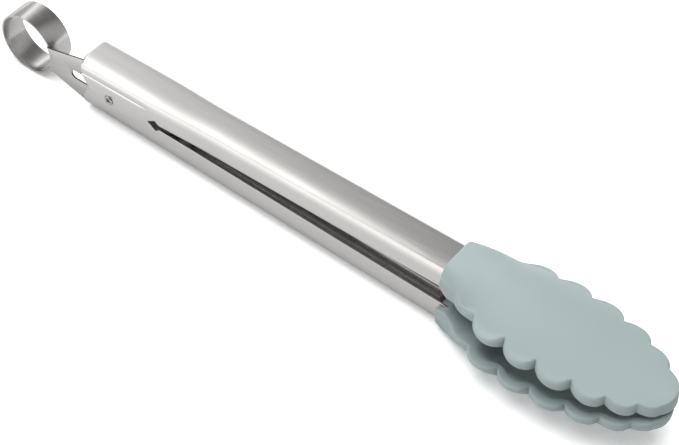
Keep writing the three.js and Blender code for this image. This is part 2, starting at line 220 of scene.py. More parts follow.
def new_piece(name, mesh, body, material):
    piece = bpy.data.objects.new(name, mesh)
    bpy.context.scene.collection.objects.link(piece)
    mesh.materials.clear()
    mesh.materials.append(material)
    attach(piece, body)
    return piece


def bevel(piece, width_mm, segments=2, degrees=40):
    modifier = piece.modifiers.new("edge", "BEVEL")
    modifier.width = width_mm * MM
    modifier.segments = segments
    modifier.limit_method = "ANGLE"
    modifier.angle_limit = math.radians(degrees)
    modifier.use_clamp_overlap = False


def grid_faces(rows, columns, wrap=False):
    faces = []
    for i in range(rows - 1):
        for j in range(columns if wrap else columns - 1):
            k = (j + 1) % columns
            faces.append((i * columns + j, i * columns + k, (i + 1) * columns + k, (i + 1) * columns + j))
    return faces


def ramp(value, start, end):
    t = min(max((value - start) / (end - start), 0.0), 1.0)
    return t * t * (3 - 2 * t)


# ---- materials ----
NOISE_SPAN = (0.3, 0.7)                             # where most of a noise texture's values lie
BAND_GRAIN = 3200.0
SILICONE_TONES = ((0.252, 0.305, 0.304), (0.270, 0.325, 0.323))
NYLON_TONES = ((0.045, 0.050, 0.050), (0.070, 0.075, 0.076))


class Nodes:
    """A material's node tree, with short calls for the nodes that these materials use."""

    def __init__(self, name):
        self.material = bpy.data.materials.new(name)
        self.material.use_nodes = True
        self.tree = self.material.node_tree
        self.shader = self.tree.nodes["Principled BSDF"]

    def add(self, kind, **settings):
        node = self.tree.nodes.new(kind)
        for key, value in settings.items():
            setattr(node, key, value)
        return node

    def join(self, source, target):
        self.tree.links.new(source, target)

    def place(self, scale):
        coordinates = self.add("ShaderNodeTexCoord")
        mapping = self.add("ShaderNodeMapping")
        mapping.inputs["Scale"].default_value = scale
        self.join(coordinates.outputs["Object"], mapping.inputs["Vector"])
        return mapping.outputs["Vector"]

    def noise(self, vector, scale, detail=3.0, roughness=0.55):
        noise = self.add("ShaderNodeTexNoise")
        noise.inputs["Scale"].default_value = scale
        noise.inputs["Detail"].default_value = detail
        noise.inputs["Roughness"].default_value = roughness
        self.join(vector, noise.inputs["Vector"])
        return noise.outputs["Fac"]

    def spread(self, value, low, high):
        span = self.add("ShaderNodeMapRange")
        span.inputs["From Min"].default_value, span.inputs["From Max"].default_value = NOISE_SPAN
        span.inputs["To Min"].default_value = low
        span.inputs["To Max"].default_value = high
        self.join(value, span.inputs["Value"])
        return span.outputs["Result"]

    def mix(self, factor, first, second):
        """A blend of two colours, each a tuple or another node's output."""
        mix = self.add("ShaderNodeMix", data_type="RGBA")
        for name, colour in (("A", first), ("B", second)):
            if isinstance(colour, tuple):
                mix.inputs[name].default_value = (*colour, 1)
            else:
                self.join(colour, mix.inputs[name])
        self.join(factor, mix.inputs["Factor"])
        return mix.outputs["Result"]

    def total(self, first, second):
        add = self.add("ShaderNodeMath", operation="ADD")
        self.join(first, add.inputs[0])
        self.join(second, add.inputs[1])
        return add.outputs["Value"]

    def bump(self, height, distance_mm, strength):
        bump = self.add("ShaderNodeBump")
        bump.inputs["Distance"].default_value = distance_mm * MM
        bump.inputs["Strength"].default_value = strength
        self.join(height, bump.inputs["Height"])
        self.join(bump.outputs["Normal"], self.shader.inputs["Normal"])


def brushed(name, along, colour, roughness, grain=0.4):
    """Steel with fine scratches that run one way. along scales the grain: small where it runs long."""
    nodes = Nodes(name)
    shader = nodes.shader
    shader.inputs["Metallic"].default_value = 1.0
    lines = nodes.noise(nodes.place(along), 1.0, 4.0, 0.65)
    clouds = nodes.noise(nodes.place((1, 1, 1)), 38.0, 4.0)
    dark = tuple(value * 0.93 for value in colour)
    nodes.join(nodes.mix(nodes.spread(lines, 0.0, 1.0), dark, colour), shader.inputs["Base Color"])
    wear = nodes.spread(clouds, -0.03, 0.05)
    scratch = nodes.spread(lines, roughness - 0.05, roughness + 0.06)
    nodes.join(nodes.total(scratch, wear), shader.inputs["Roughness"])
    nodes.bump(lines, 0.01, grain)
    return nodes.material


def silicone(name):
    nodes = Nodes(name)
    shader = nodes.shader
    patches = nodes.noise(nodes.place((1, 1, 1)), 28.0, 3.0)
    grain = nodes.noise(nodes.place((1, 1, 1)), 2600.0, 2.0)
    nodes.join(nodes.mix(patches, *SILICONE_TONES), shader.inputs["Base Color"])
    nodes.join(nodes.spread(patches, 0.46, 0.54), shader.inputs["Roughness"])
    shader.inputs["Subsurface Weight"].default_value = 0.12
    shader.inputs["Subsurface Radius"].default_value = (0.7, 1.0, 0.95)
    shader.inputs["Subsurface Scale"].default_value = 1.2 * MM
    shader.inputs["Specular IOR Level"].default_value = 0.42
    nodes.bump(grain, 0.02, 0.12)
    return nodes.material


def nylon(name):
    nodes = Nodes(name)
    shader = nodes.shader
    grain = nodes.noise(nodes.place((1, 1, 1)), 1400.0, 3.0)
    nodes.join(nodes.mix(grain, *NYLON_TONES), shader.inputs["Base Color"])
    nodes.join(nodes.spread(grain, 0.5, 0.62), shader.inputs["Roughness"])
    nodes.bump(grain, 0.03, 0.2)
    return nodes.material


def banded(name, centre, colour, roughness, grain):
    """Brushed steel whose grain runs round an axis along Y through the centre, as on a rolled band."""
    nodes = Nodes(name)
    shader = nodes.shader
    shader.inputs["Metallic"].default_value = 1.0
    coordinates = nodes.add("ShaderNodeTexCoord")
    shift = nodes.add("ShaderNodeVectorMath", operation="SUBTRACT")
    shift.inputs[1].default_value = centre
    nodes.join(coordinates.outputs["Object"], shift.inputs[0])
    split = nodes.add("ShaderNodeSeparateXYZ")
    nodes.join(shift.outputs["Vector"], split.inputs["Vector"])
    angle = nodes.add("ShaderNodeMath", operation="ARCTAN2")
    nodes.join(split.outputs["Z"], angle.inputs[0])
    nodes.join(split.outputs["X"], angle.inputs[1])
    across = nodes.add("ShaderNodeMath", operation="MULTIPLY")
    across.inputs[1].default_value = BAND_GRAIN
    nodes.join(split.outputs["Y"], across.inputs[0])
    both = nodes.add("ShaderNodeCombineXYZ")
    nodes.join(angle.outputs["Value"], both.inputs["X"])
    nodes.join(across.outputs["Value"], both.inputs["Y"])
    lines = nodes.noise(both.outputs["Vector"], 1.0, 4.0, 0.65)
    dark = tuple(value * 0.9 for value in colour)
    nodes.join(nodes.mix(nodes.spread(lines, 0.0, 1.0), dark, colour), shader.inputs["Base Color"])
    nodes.join(nodes.spread(lines, roughness - 0.05, roughness + 0.07), shader.inputs["Roughness"])
    nodes.bump(lines, 0.01, grain)
    return nodes.material


RING_PLACE = TONGS @ Vector((RING_CENTRE, 0, 0))
ARM_STEEL = brushed("arm_steel", (14, 1900, 1900), (0.660, 0.645, 0.630), 0.2, 0.2)
PLATE_STEEL = brushed("plate_steel", (120, 1500, 1500), (0.56, 0.55, 0.535), 0.36, 0.25)
# Very dark steel for the plate's cut edges: a rougher cut finish, and painted shade that stands for the
# shadow on the slot's wall.
CUT_FINISH_AND_PAINTED_SHADE_STEEL = brushed("cut_edge_finish_and_painted_shade", (900, 900, 900), (0.11, 0.108, 0.105), 0.5)
BAND_STEEL = banded("band_steel", RING_PLACE, (0.58, 0.57, 0.56), 0.22, 0.2)
RIVET_STEEL = brushed("rivet_steel", (700, 700, 700), (0.45, 0.445, 0.44), 0.08, 0.1)
WIRE_STEEL = brushed("wire_steel", (400, 900, 400), (0.42, 0.42, 0.43), 0.3)
HEAD_SILICONE = silicone("head_silicone")
CORE_NYLON = nylon("core_nylon")


# ---- arms ----
CHEEK_ROWS = 8
LEDGE_ROWS = 5
ABOVE_LEDGE = 0.25                                  # spacing of the next rows above it
CORNER_ROWS = 14


def line(x, start, end):
    return start[1] + (end[1] - start[1]) * (x - start[0]) / (end[0] - start[0])


def quadratic(x, start, middle, end):
    """Height of a quadratic curve at x, where the curve's x runs one way."""
    low, high = 0.0, 1.0
    for _ in range(40):
        t = (low + high) / 2
        here = (1 - t) ** 2 * start[0] + 2 * t * (1 - t) * middle[0] + t * t * end[0]
        low, high = (t, high) if here < x else (low, t)
    return (1 - t) ** 2 * start[1] + 2 * t * (1 - t) * middle[1] + t * t * end[1]


def cheek_front(x):
    if x < NOTCH_WIDE[0]:
        return line(x, (NOTCH_TIP, 0), NOTCH_WIDE)
    if x < NOTCH_BACK:
        return line(x, NOTCH_WIDE, (NOTCH_BACK, CHEEK_EDGE))
    return CHEEK_EDGE


def upper_edge(x):
    """Lowest point of the upper cheek at x: rear bevel, ear, notch, then the straight cut edge."""
    if x < V_CORNER:
        return line(x, (ARM_REAR, CREASE), (V_CORNER, 0))
    if x < 0:
        return quadratic(x, (V_CORNER, 0), EAR_REAR_HANDLE, EAR_LOWEST)
    if x < EAR_FRONT[0]:
        return line(x, EAR_LOWEST, EAR_FRONT)
    if x < NOTCH_TIP:
        return quadratic(x, EAR_FRONT, EAR_FRONT_HANDLE, (NOTCH_TIP, 0))
    return cheek_front(x)


def lower_edge(x):
    """The same for the lower cheek, whose round ear is hidden inside the upper one."""
    reach = LOWER_EAR * math.cos(LOWER_EAR_ANGLE)
    drop = LOWER_EAR * math.sin(LOWER_EAR_ANGLE)
    if x < V_CORNER:
        return line(x, (ARM_REAR, CREASE), (V_CORNER, 0))
    if x < -reach:
        return line(x, (V_CORNER, 0), (-reach, -drop))
    if x < reach:
        return -math.sqrt(LOWER_EAR * LOWER_EAR - x * x)
    if x < NOTCH_TIP:
        return line(x, (reach, -drop), (NOTCH_TIP, 0))
    return cheek_front(x)


def joggle(x, z):
    """How far the upper sheet stands out at its rear, with a fine ledge above the ears."""
    rise = ramp(z, CREASE, CREASE + CREASE_RAMP)
    step = rise * (1 - ramp(z, CREASE + CREASE_RAMP, CREASE + CREASE_BLEND))
    return EAR_OUT * (1 - ramp(x, *JOGGLE_FADE)) - CREASE_STEP * step * (1 - ramp(x, *CREASE_FADE))


def plain(x, z):
    """The lower sheet stands out nowhere."""
    return 0.0


def arm_stations():
    rear = np.linspace(ARM_REAR, V_CORNER, 5)[:-1]
    ear = np.linspace(V_CORNER, NOTCH_TIP, 38)[:-1]
    notch = np.linspace(NOTCH_TIP, NOTCH_WIDE[0], 7)[:-1]
    back = np.linspace(NOTCH_WIDE[0], NOTCH_BACK, 5)[:-1]
    fade = np.linspace(NOTCH_BACK, 34, 6)[:-1]
    rest = np.linspace(34, ARM_END, 39)
    return np.concatenate([rear, ear, notch, back, fade, rest])


def half_section(x, edge, offset):
    """Points (y, z) from the cheek's cut edge up over the rounded corner to the middle of the web."""
    low, corner = edge(x), WEB_TOP - WEB_CORNER
    heights = [low + (CREASE - low) * k / CHEEK_ROWS for k in range(CHEEK_ROWS)]
    heights += [CREASE + CREASE_RAMP * k / LEDGE_ROWS for k in range(LEDGE_ROWS + 1)]
    heights += [CREASE + CREASE_RAMP + k * ABOVE_LEDGE for k in (1, 2, 3)]
    points = []
    for z in heights:
        rise = max(z - corner, 0) / WEB_CORNER
        fall = WEB_CORNER * (1 - (1 - rise ** WEB_POWER) ** (1 / WEB_POWER))
        points.append((ARM_HALF - fall + offset(x, z), z))
    for k in range(2, CORNER_ROWS + 1):
        angle = math.pi / 2 * k / CORNER_ROWS
        y = ARM_HALF - WEB_CORNER + WEB_CORNER * abs(math.cos(angle)) ** (2 / WEB_POWER)
        z = corner + WEB_CORNER * math.sin(angle) ** (2 / WEB_POWER)
        points.append((y + offset(x, z), z))
    return points


def channel_arm(name, edge, offset, place, body):
    points = []
    stations = arm_stations()
    for x in stations:
        half = half_section(x, edge, offset)
        near = [(x, -y, z) for y, z in half]
        far = [(x, y, z) for y, z in reversed(half)]
        points += near + [(x, 0, WEB_TOP)] + far
    columns = len(points) // len(stations)
    mesh = to_mesh(name, points, grid_faces(len(stations), columns), place)
    tidy_mesh(mesh)
    arm = new_piece(name, mesh, body, ARM_STEEL)
    solidify = arm.modifiers.new("sheet", "SOLIDIFY")
    solidify.thickness = SHEET * MM
    solidify.offset = -1
    bevel(arm, 0.14)
    return arm


def make_arms():
    upper = channel_arm("upper_arm_sheet", upper_edge, joggle, UPPER, "upper_jaw")
    lower = channel_arm("lower_arm_sheet", lower_edge, plain, LOWER, "lower_jaw")
    for arm, node in ((upper, "upper_arm"), (lower, "lower_arm")):
        mesh = applied(arm)
        smooth(mesh, 35)
        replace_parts(arm, node)


# ---- heads ----
REAR_STEPS = 14
REAR_CURVE = 1.6                                    # power of the widening from the sleeve to the first lobe
LOBE_STEPS = 20
TIP_STEPS = 24
KEPT_POINTS = 6                                     # points at the sleeve's rear that softening leaves alone
MERGE_POINTS = 0.003
DROP_EDGES = 0.001
# Rings of points across the head, as shares of each stretch or, round the back's edge, angles in degrees.
BACK_SHARES = (1.0, 0.9, 0.78, 0.64, 0.5, 0.37, 0.25, 0.15, 0.07, 0.0)
SIDE_ANGLES = (9, 18, 28, 38, 48, 57, 66, 74, 82, 90)
LIP_SHARES = (0.0, 0.07, 0.2, 0.4, 0.65, 1.0)
RIM_SHARES = (0.33, 0.67)
DISH_SHARES = (0.0, 0.03, 0.07, 0.12, 0.18, 0.26, 0.36, 0.5, 0.66, 0.83, 1.0)


def lip_height(x):
    t = (x - LIP_START) / (HEAD_TIP - LIP_START)
    hood = max(LIP_START - x, 0) / (LIP_START - SLEEVE_REAR)
    cut = SLEEVE_CUT * (1 - ramp(x, SLEEVE_REAR - 1, SLEEVE_REAR + 5))
    start, even, curved = LIP_CURVE
    return start - even * t - curved * t * t - LIP_HOOD * hood * hood + cut - math.tan(SPLAY) * x


def head_half(x):
    widest, half = HEAD_HALF
    if x < widest:
        return half - HEAD_REAR[1] * ((widest - x) / HEAD_REAR[0]) ** 2
    return half * math.sqrt(1 - min((x - widest) / HEAD_FRONT[0], 0.98) ** HEAD_FRONT[1])


def head_back(x, y, edge_half):
    """Height of the head's back: a hood that fits the arm, turning into a dome that flattens to the tip."""
    edge = lip_height(x) + WALL_HEIGHT
    start = lip_height(LIP_START) + WALL_HEIGHT
    t = min(max((x - LIP_START) / (HEAD_TIP - LIP_START), 0), 1)
    fade = 0.5 + 0.5 * math.cos(math.pi * t)
    crown = SLEEVE_TOP if x < LIP_START else edge + DOME_LEAST + (SLEEVE_TOP - start - DOME_LEAST) * fade
    base = start if x < LIP_START else edge
    dome = base + (crown - base) * (1 - min(abs(y) / head_half(x), HOOD_LIMIT) ** 2)
    hood = start + (crown - start) * math.sqrt(max(1 - min(abs(y) / edge_half, 1) ** HOOD_POWER, 0))
    return dome + (hood - dome) * (1 - ramp(x, *HOOD_FADE))


def bulge_points(start, end, bulge, steps, lean=0.0):
    """Points after start on an arc to end that stands out by bulge on the side away from y = 0.
    lean then pushes its crest along towards end."""
    chord = end - start
    length = chord.length
    side = Vector((-chord.y, chord.x)).normalized()
    radius = (length * length / 4 + bulge * bulge) / (2 * bulge)
    centre = (start + end) / 2 + side * (bulge - radius)
    first = math.atan2(start.y - centre.y, start.x - centre.x)
    sweep = -4 * math.atan2(2 * bulge, length)
    points = []
    for k in range(1, steps + 1):
        angle = first + sweep * k / steps
        push = chord / length * lean * math.sin(math.pi * k / steps)
        points.append(centre + radius * Vector((math.cos(angle), math.sin(angle))) + push)
    return points


def head_outline(rear_half, rear_bulge, fullness):
    """A scalloped edge for y > 0, from the sleeve's rear to the tip."""
    rear, lobe = Vector((SLEEVE_REAR, SLEEVE_HALF)), Vector((REAR_LOBE_X, rear_half))
    first = Vector(VALLEYS[0][:2])
    points = [rear + (lobe - rear) * (k / REAR_STEPS) ** REAR_CURVE for k in range(REAR_STEPS + 1)]
    points += bulge_points(lobe, first, rear_bulge, REAR_STEPS)
    ends = [Vector(valley[:2]) for valley in VALLEYS[1:]] + [Vector(TIP_CORNER)]
    for valley, end in zip(VALLEYS, ends):
        points += bulge_points(Vector(valley[:2]), end, valley[2] * fullness, LOBE_STEPS, LOBE_LEAN)
    corner = ends[-1]
    tip = bulge_points(corner, Vector((corner.x, -corner.y)), HEAD_TIP - corner.x, TIP_STEPS)
    outline = np.array([tuple(point) for point in points + tip[: TIP_STEPS // 2]])
    return softened(outline, VALLEY_SOFT)


def mirrored(outline):
    return np.concatenate([outline, outline[::-1][1:] * (1, -1)])


def softened(outline, radius):
    """Rounds the valleys: each point moves to the average of its neighbours within the radius."""
    whole = mirrored(outline)
    steps = np.hypot(*np.diff(whole, axis=0).T)
    along = np.concatenate([[0], np.cumsum(steps)])
    result = outline.copy()
    for i in range(KEPT_POINTS, len(outline)):
        weight = np.exp(-((along - along[i]) / radius) ** 2 / 2)
        result[i] = (whole * weight[:, None]).sum(0) / weight.sum()
    result[-1, 1] = 0
    return result


def inset(outline, distance):
    """The outline moved into the head by a distance, or one for each point, square to its edge."""
    along = np.gradient(mirrored(outline), axis=0)[: len(outline)]
    normal = np.stack([along[:, 1], -along[:, 0]], 1)
    normal /= np.linalg.norm(normal, axis=1)[:, None]
    normal[0] = (0, -1)
    normal[-1] = (-1, 0)
    moved = outline + normal * np.reshape(distance, (-1, 1))
    moved[:, 1] = np.maximum(moved[:, 1], 0)
    return moved


def quarter(distance, radius):
    """How far a rounded edge has dropped, at a distance in from the edge."""
    near = max(radius - distance, 0)
    return radius - math.sqrt(max(radius * radius - near * near, 0))


def bowed(x, y, z):
    """The sleeve's rear edge runs back at its sides."""
    return x - SLEEVE_BOW * (y / SLEEVE_HALF) ** 2 * (1 - ramp(x, SLEEVE_REAR, REAR_LOBE_X)), y, z


def head_rings():
    """Rings of points from the middle of the back, out over the edge, and in again to the dish's middle."""
    lip, top = head_outline(*LIP_LINE), head_outline(*BACK_LINE)
    grows = BACK_EDGE - SLEEVE_BACK_EDGE
    back = inset(top, [SLEEVE_BACK_EDGE + grows * ramp(x, *BACK_EDGE_FADE) for x in top[:, 0]])
    dish = inset(softened(lip, DISH_SOFT), RIM)
    spine = np.stack([np.minimum(lip[:, 0], SPINE_END), np.zeros(len(lip))], 1)
    straight = len(back) - TIP_POINTS
    widths = np.maximum.accumulate(back[:straight, 0]), back[:straight, 1]

    def back_height(x, y):
        edge_half = max(float(np.interp(x, *widths)), abs(y)) + 0.01
        return head_back(x, y, edge_half) - quarter(x - SLEEVE_REAR, SLEEVE_EDGE)

    def low_height(x):
        return lip_height(x) + LIP_EDGE + LIP_WALL

    rings = []
    for share in BACK_SHARES:
        places = back + (spine - back) * share
        rings.append([(x, y, back_height(x, y)) for x, y in places])
    for angle in np.radians(SIDE_ANGLES):
        places = back + (lip - back) * math.sin(angle)
        highs = [back_height(x, y) for x, y in back]
        lows = [low_height(x) for x in lip[:, 0]]
        fall = math.cos(angle)
        rings.append([(x, y, low + (high - low) * fall) for (x, y), high, low in zip(places, highs, lows)])
    for share in LIP_SHARES:
        places = inset(lip, LIP_EDGE * share)
        drop = [lip_height(x) + quarter(LIP_EDGE * share, LIP_EDGE) for x in lip[:, 0]]
        rings.append([(x, y, low) for (x, y), low in zip(places, drop)])
    start = inset(lip, LIP_EDGE)
    for share in RIM_SHARES:
        places = start + (dish - start) * share
        rings.append([(x, y, lip_height(edge)) for (x, y), edge in zip(places, lip[:, 0])])
    for share in DISH_SHARES:
        ring = []
        for (x, y), edge in zip(dish + (spine - dish) * share, lip[:, 0]):
            floor = lip_height(edge) + (lip_height(x) - lip_height(edge)) * share
            depth = max(back_height(x, y) - SHELL - floor, 0) * ramp(x, *DISH_START)
            ring.append((x, y, floor + depth * (1 - (1 - min(share / DISH_WALL[0], 1)) ** DISH_WALL[1])))
        rings.append(ring)
    return [[bowed(*point) for point in ring] for ring in rings]


def head_mesh(name, place):
    rings = head_rings()
    columns = len(rings[0])
    points = [point for ring in rings for point in ring]
    mirror = [(x, -y, z) for x, y, z in points]
    faces = grid_faces(len(rings), columns)
    shifted = [tuple(index + len(points) for index in face) for face in faces]
    mesh = to_mesh(name, points + mirror, faces + shifted, place)
    work = bmesh.new()
    work.from_mesh(mesh)
    bmesh.ops.remove_doubles(work, verts=work.verts, dist=MERGE_POINTS * MM)
    bmesh.ops.dissolve_degenerate(work, edges=work.edges, dist=DROP_EDGES * MM)
    open_edges = [edge for edge in work.edges if edge.is_boundary]
    bmesh.ops.contextual_create(work, geom=open_edges)
    bmesh.ops.recalc_face_normals(work, faces=work.faces)
    work.to_mesh(mesh)
    work.free()
    smooth(mesh, 50)
    return mesh


def core_section(x):
    """Points (y, z) of the stiff core at x: a block that fits inside the arm, then a blade in the head."""
    chamfer = max(CORE_GAP, CORE_CHAMFER - (x - CORE_REACH[0]))
    half = ARM_HALF - SHEET - chamfer
    top = min(WEB_TOP - SHEET - chamfer, head_back(x, 0, SLEEVE_HALF) - CORE_COVER)
    block = lip_height(max(x, SLEEVE_REAR)) + CORE_COVER + chamfer
    low = block + (top - CORE_BLADE - block) * ramp(x, *CORE_BLOCK)
    rise = min(WEB_CORNER, top - low) * CORE_CORNER
    points = [(half, low)]
    for angle in np.linspace(0, math.pi / 2, 9):
        y = half - WEB_CORNER * (1 - abs(math.cos(angle)) ** (2 / WEB_POWER))
        points.append((y, top - rise * (1 - math.sin(angle) ** (2 / WEB_POWER))))
    return points + [(-y, z) for y, z in reversed(points)]


def make_core(side, place):
    stations = [CORE_REACH[0], *np.linspace(CORE_REACH[0] + CORE_CHAMFER, CORE_REACH[1], 60)]
    points = [(x, y, z) for x in stations for y, z in core_section(x)]
    columns = len(points) // len(stations)
    faces = grid_faces(len(stations), columns, wrap=True)
    faces += [tuple(range(columns)), tuple(range(len(points) - columns, len(points)))]
    mesh = to_mesh(f"{side}_head_core", points, faces, place)
    tidy_mesh(mesh)
    core = new_piece(f"{side}_head_core", mesh, f"{side}_jaw", CORE_NYLON)
    smooth(mesh, 35)
    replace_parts(core, f"{side}_core")


def make_heads():
    for side, place in (("upper", UPPER), ("lower", LOWER)):
        mesh = head_mesh(f"{side}_head_silicone", place)
        head = new_piece(f"{side}_head_silicone", mesh, f"{side}_jaw", HEAD_SILICONE)
        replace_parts(head, f"{side}_head")
        make_core(side, place)


# ---- hinge ----
def lathe(name, profile, steps, place):
    """A solid of revolution round Y. The profile is a list of (radius, y)."""
    points = []
    for k in range(steps):
        angle = 2 * math.pi * k / steps
        points += [(r * math.cos(angle), y, r * math.sin(angle)) for r, y in profile]
    rows = len(profile)
    faces = []
    for k in range(steps):
        n = (k + 1) % steps
        faces += [(k * rows + i, k * rows + i + 1, n * rows + i + 1, n * rows + i) for i in range(rows - 1)]
    mesh = to_mesh(name, points, faces, place)
    tidy_mesh(mesh)
    return mesh


def make_rivet():
    radius, height = RIVET_HEAD
    seat = ARM_HALF + EAR_OUT + RIVET_GAP
    hollow, floor = RIVET_HOLLOW[0], seat - RIVET_HOLLOW[1]
    middle, half = (radius + hollow) / 2, (radius - hollow) / 2
    angles = np.linspace(math.pi, 0, 15)
    end = [(0, floor), (hollow - RIVET_SOFT, floor), (hollow, floor + RIVET_SOFT)]
    end += [(middle + half * math.cos(a), seat + height * math.sin(a)) for a in angles]
    profile = end + [(PIN_RADIUS, seat), (PIN_RADIUS, -seat)]
    profile += [(r, -y) for r, y in reversed(end)]
    mesh = lathe("rivet", profile, LATHE_STEPS, UPPER)
    smooth(mesh, 50)
    rivet = new_piece("rivet", mesh, "upper_jaw", RIVET_STEEL)
    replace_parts(rivet, "hinge_rivet")
    for side, name in ((-1, "rivet_press_near"), (1, "rivet_press_far")):
        face = side * (ARM_HALF + EAR_OUT)
        ring = [(r, face + side * out) for r, out in PRESS_RING]
        mesh = lathe(name, ring, LATHE_STEPS, UPPER)
        smooth(mesh, 60)
        new_piece(name, mesh, "upper_jaw", ARM_STEEL)


def wire(name, points, body, place):
    curve = bpy.data.curves.new(name, "CURVE")
    curve.dimensions = "3D"
    curve.bevel_depth = WIRE_RADIUS * MM
    curve.bevel_resolution = 5
    curve.use_fill_caps = True
    spline = curve.splines.new("POLY")
    spline.points.add(len(points) - 1)
    for target, point in zip(spline.points, points):
        target.co = (*(place @ Vector(point)), 1)
    holder = bpy.data.objects.new(name, curve)
    bpy.context.scene.collection.objects.link(holder)
    graph = bpy.context.evaluated_depsgraph_get()
    mesh = bpy.data.meshes.new_from_object(holder.evaluated_get(graph))
    bpy.data.objects.remove(holder)
    smooth(mesh, 60)
    return new_piece(name, mesh, body, WIRE_STEEL)


def make_spring():
    leg_z = WEB_TOP - SHEET + LEG_REACH * math.sin(SPLAY) - WIRE_RADIUS - LEG_GAP
    reach = math.hypot(LEG_REACH, leg_z)
    lift = math.atan2(leg_z, LEG_REACH) - math.asin(COIL_RADIUS / reach)
    sweep = 2 * math.pi * COIL_TURNS - 2 * lift
    leg = math.sqrt(reach ** 2 - COIL_RADIUS ** 2)
    turns = np.linspace(-sweep / 2, sweep / 2, COIL_POINTS)
    coil = [
        (COIL_RADIUS * math.cos(t), 2 * COIL_HALF * t / sweep, COIL_RADIUS * math.sin(t))
        for t in turns
    ]
    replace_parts(wire("spring_coil", coil, "pin_bush", TONGS), "torsion_spring")
    for side, body in ((-1, "upper_jaw"), (1, "lower_jaw")):
        turn = side * sweep / 2
        start = Vector((COIL_RADIUS * math.cos(turn), side * COIL_HALF, COIL_RADIUS * math.sin(turn)))
        away = side * Vector((-math.sin(turn), 0, math.cos(turn)))
        points = [start + away * leg * k / 8 for k in range(9)]
        wire(f"spring_leg_{body}", points, body, TONGS)


# ---- lock ----
def flat_piece(name, loops, y0, y1, place):
    """A sheet between y0 and y1. The loops are (x, z) outlines, the first one outside, the rest holes."""
    work = bmesh.new()
    edges = []
    for loop in loops:
        verts = [work.verts.new(place @ Vector((x, y0, z))) for x, z in loop]
        edges += [work.edges.new((a, b)) for a, b in zip(verts, verts[1:] + verts[:1])]
    filled = bmesh.ops.triangle_fill(work, use_beauty=True, use_dissolve=False, edges=edges)
    faces = [item for item in filled["geom"] if isinstance(item, bmesh.types.BMFace)]
    lifted = bmesh.ops.extrude_face_region(work, geom=faces, use_keep_orig=True)
    shift = place.to_3x3() @ Vector((0, y1 - y0, 0))
    raised = [item for item in lifted["geom"] if isinstance(item, bmesh.types.BMVert)]
    bmesh.ops.translate(work, vec=shift, verts=raised)
    bmesh.ops.recalc_face_normals(work, faces=work.faces)
    mesh = bpy.data.meshes.new(name)
    work.to_mesh(mesh)
    work.free()
    return mesh


def arc(cx, cz, radius, first, last, steps):
    return [(cx + radius * math.cos(a), cz + radius * math.sin(a)) for a in np.linspace(first, last, steps)]


def make_plate():
    seat = RING_RADIUS - RING_SHEET / 2
    narrow = PLATE_HALF - PLATE_TAPER * (PLATE_WIDE[0] - (RING_CENTRE + RING_RADIUS))
    end = math.asin(PLATE_END_HALF / seat)
    nose = []
    for t in np.linspace(0, 1, 12):
        x = (1 - t) ** 2 * PLATE_WIDE[1] + 2 * t * (1 - t) * PLATE_NOSE + t * t * PLATE_NOSE
        nose.append((x, -(1 - t) ** 2 * PLATE_HALF - 2 * t * (1 - t) * PLATE_HALF))
    outline = arc(RING_CENTRE, 0, seat, end, -end, 14)
    outline += [(RING_CENTRE + RING_RADIUS, -narrow), (PLATE_WIDE[0], -PLATE_HALF)]
    outline += nose + [(x, -z) for x, z in reversed(nose[:-1])]
    outline += [(PLATE_WIDE[0], PLATE_HALF), (RING_CENTRE + RING_RADIUS, narrow)]
    slot_radius = BUSH_RADIUS + SLOT_PLAY
    slot = arc(0, 0, slot_radius, -math.pi / 2, math.pi / 2, 16)
    slot += arc(-SLOT_LENGTH, 0, slot_radius, math.pi / 2, 3 * math.pi / 2, 16)
    mesh = flat_piece("lock_plate_sheet", [outline, slot], PLATE_FACE, PLATE_FACE + SHEET, TONGS)
    plate = new_piece("lock_plate_sheet", mesh, "lock_slider", PLATE_STEEL)
    bevel(plate, 0.1)
    mesh = applied(plate)
    smooth(mesh, 30)
    # The faces across the sheet's thickness take the very dark steel: painted shade on the slot's wall and
    # the plate's rim, with a rougher cut finish.
    mesh.materials.append(CUT_FINISH_AND_PAINTED_SHADE_STEEL)
    for face in mesh.polygons:
        face.material_index = int(abs(face.normal.y) < 0.5)
    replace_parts(plate, "lock_plate")


def ring_section(radius, half, soft=0.18):
    """The band's cross-section, as (radius, y), with rounded corners."""
    inner = radius - RING_SHEET
    corners = ((inner + soft, -half + soft, 180), (radius - soft, -half + soft, 270),
               (radius - soft, half - soft, 0), (inner + soft, half - soft, 90))
    points = []
    for r, y, first in corners:
        for k in range(5):
            angle = math.radians(first + 90 * k / 4)
            points.append((r + soft * math.cos(angle), y + soft * math.sin(angle)))
    return points


def make_ring():
    """The band is an open hoop: its two ends meet at a butt seam opposite the plate."""
    gap = SEAM_GAP / RING_RADIUS
    section = ring_section(RING_RADIUS, RING_HALF)
    angles = np.linspace(SEAM_ANGLE + gap / 2, SEAM_ANGLE + 2 * math.pi - gap / 2, 193)
    points = [
        (RING_CENTRE + r * math.cos(angle), y, r * math.sin(angle))
        for angle in angles
        for r, y in section
    ]
    columns = len(section)
    faces = grid_faces(len(angles), columns, wrap=True)
    faces += [tuple(range(columns)), tuple(range(len(points) - columns, len(points)))]
    mesh = to_mesh("pull_ring_band", points, faces, TONGS)
    tidy_mesh(mesh, 0.0)
    smooth(mesh, 40)
    ring = new_piece("pull_ring_band", mesh, "lock_slider", BAND_STEEL)
    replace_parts(ring, "pull_ring")


# ---- studio ----
CAMERA_PLACE = (0.3394, -0.4886, 0.6727)
CAMERA_AZIMUTH = math.radians(33.85)
CAMERA_ELEVATION = math.radians(48.25)
CAMERA_ROLL = math.radians(4.45)
CAMERA_LENS = 110.8


